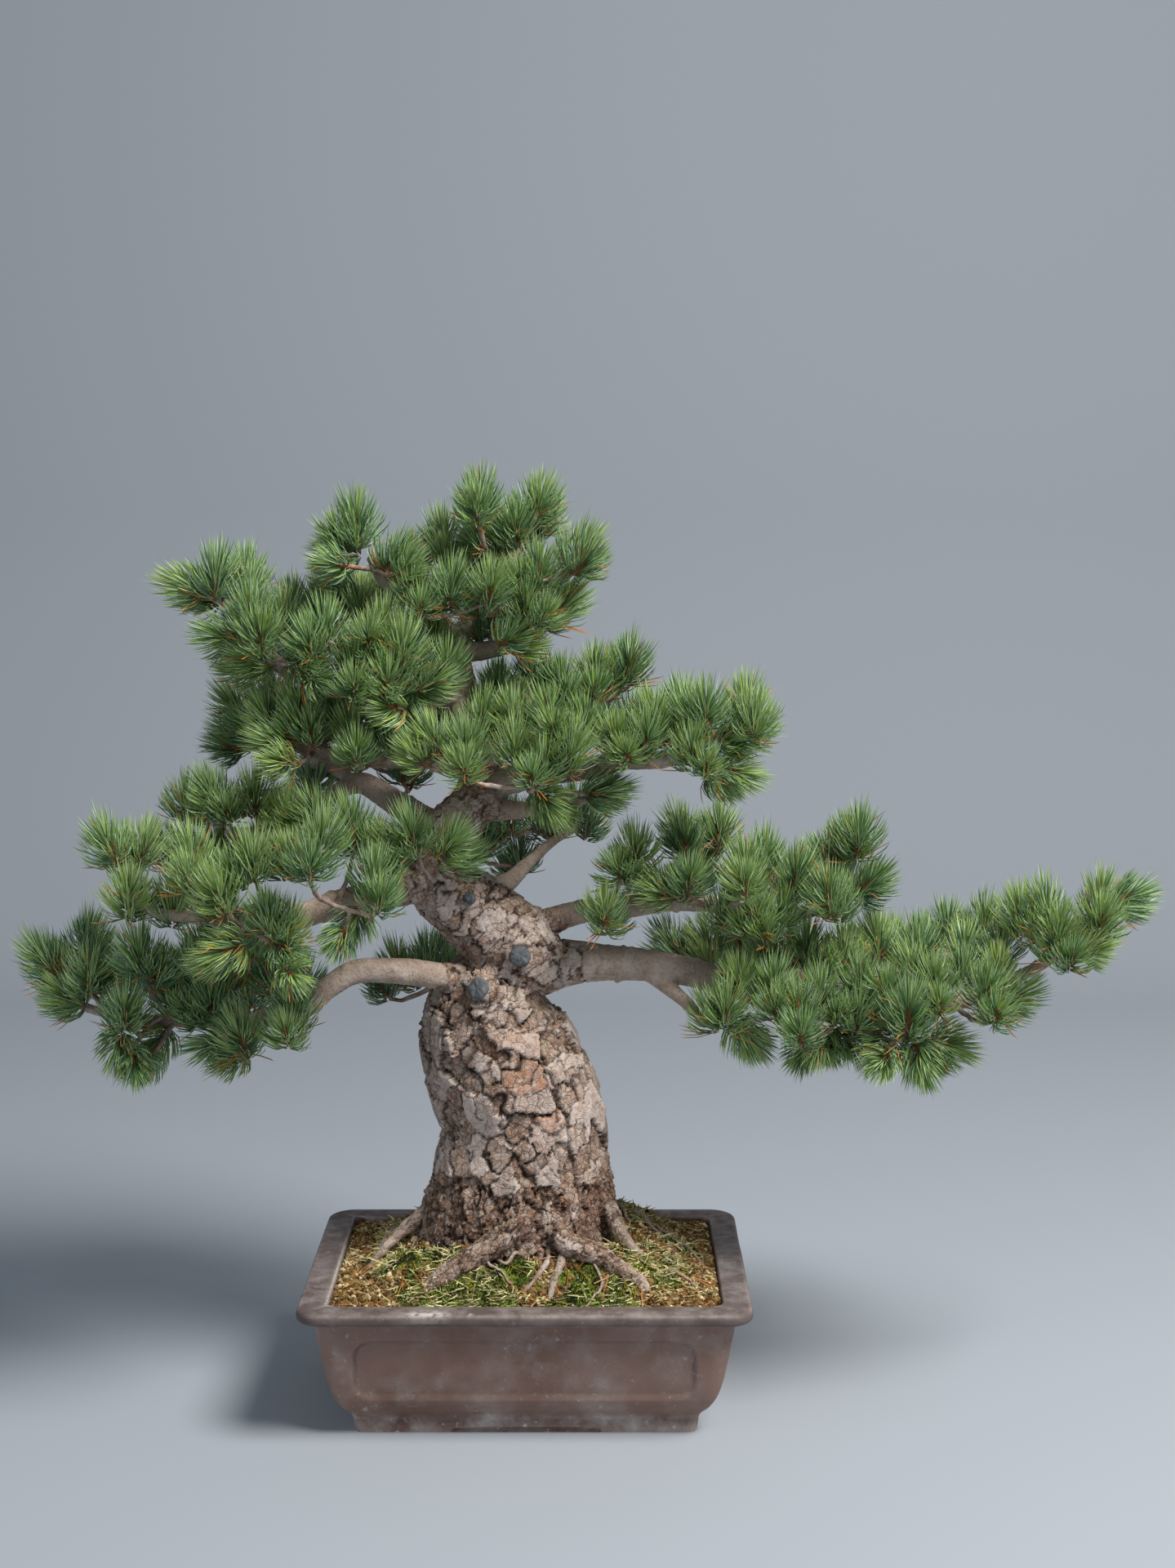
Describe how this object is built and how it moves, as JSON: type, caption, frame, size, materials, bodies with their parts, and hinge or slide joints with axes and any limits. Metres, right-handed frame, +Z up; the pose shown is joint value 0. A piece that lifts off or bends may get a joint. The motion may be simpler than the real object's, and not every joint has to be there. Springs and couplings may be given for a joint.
{
  "type": "bonsai tree in a pot",
  "caption": "Thick-trunked bonsai pine with tiered sprays of needles, rooted in domed gritty soil in a rectangular unglazed clay pot on low feet.",
  "frame": {"origin": "on the ground under the middle of the bounding box", "axes": "+Z up, +X to the viewer's right when the tree's front is seen, +Y away from the viewer"},
  "size_m": [1.0404, 0.373, 0.861],
  "materials": {
    "clay": "unglazed stoneware, dark brown-purple, matt with pale mineral smears",
    "soil": "loose tan and brown grit of 2 to 4 mm",
    "bark": "rough plated grey-brown bark with dark cracks",
    "needles": "slim green needles in bundles of five, on brown twigs",
    "cut_paste": "dull grey wound paste, slightly domed",
    "screen": "black plastic mesh"
  },
  "bodies": {
    "root": {"pot": "clay", "drain_screen_left": "screen", "drain_screen_right": "screen", "soil": "soil", "trunk": "bark", "cut_paste_low": "cut_paste", "cut_paste_middle": "cut_paste", "cut_paste_high": "cut_paste", "spray_apex_1": "needles", "spray_apex_2": "needles", "spray_apex_3": "needles", "spray_apex_4": "needles", "spray_apex_5": "needles", "spray_apex_6": "needles", "spray_apex_7": "needles", "spray_upper_left_1": "needles", "spray_upper_left_2": "needles", "spray_upper_left_3": "needles", "spray_upper_left_4": "needles", "spray_upper_left_5": "needles", "spray_mid_left_1": "needles", "spray_mid_left_2": "needles", "spray_mid_left_3": "needles", "spray_mid_right_1": "needles", "spray_mid_right_2": "needles", "spray_mid_right_3": "needles", "spray_mid_right_4": "needles", "spray_mid_right_5": "needles", "spray_mid_right_6": "needles", "spray_mid_right_7": "needles", "spray_left_1": "needles", "spray_left_2": "needles", "spray_left_3": "needles", "spray_left_4": "needles", "spray_left_5": "needles", "spray_left_6": "needles", "spray_left_7": "needles", "spray_low_left_1": "needles", "spray_low_left_2": "needles", "spray_low_left_3": "needles", "spray_low_left_4": "needles", "spray_low_left_5": "needles", "spray_right_1": "needles", "spray_right_2": "needles", "spray_right_3": "needles", "spray_right_4": "needles", "spray_right_5": "needles", "spray_low_right_1": "needles", "spray_low_right_2": "needles", "spray_low_right_3": "needles", "spray_low_right_4": "needles", "spray_low_right_5": "needles", "spray_low_right_6": "needles", "spray_low_right_7": "needles", "spray_low_right_8": "needles", "spray_low_right_9": "needles", "spray_back_1": "needles", "spray_back_2": "needles", "spray_back_3": "needles"}
  },
  "joints": []
}
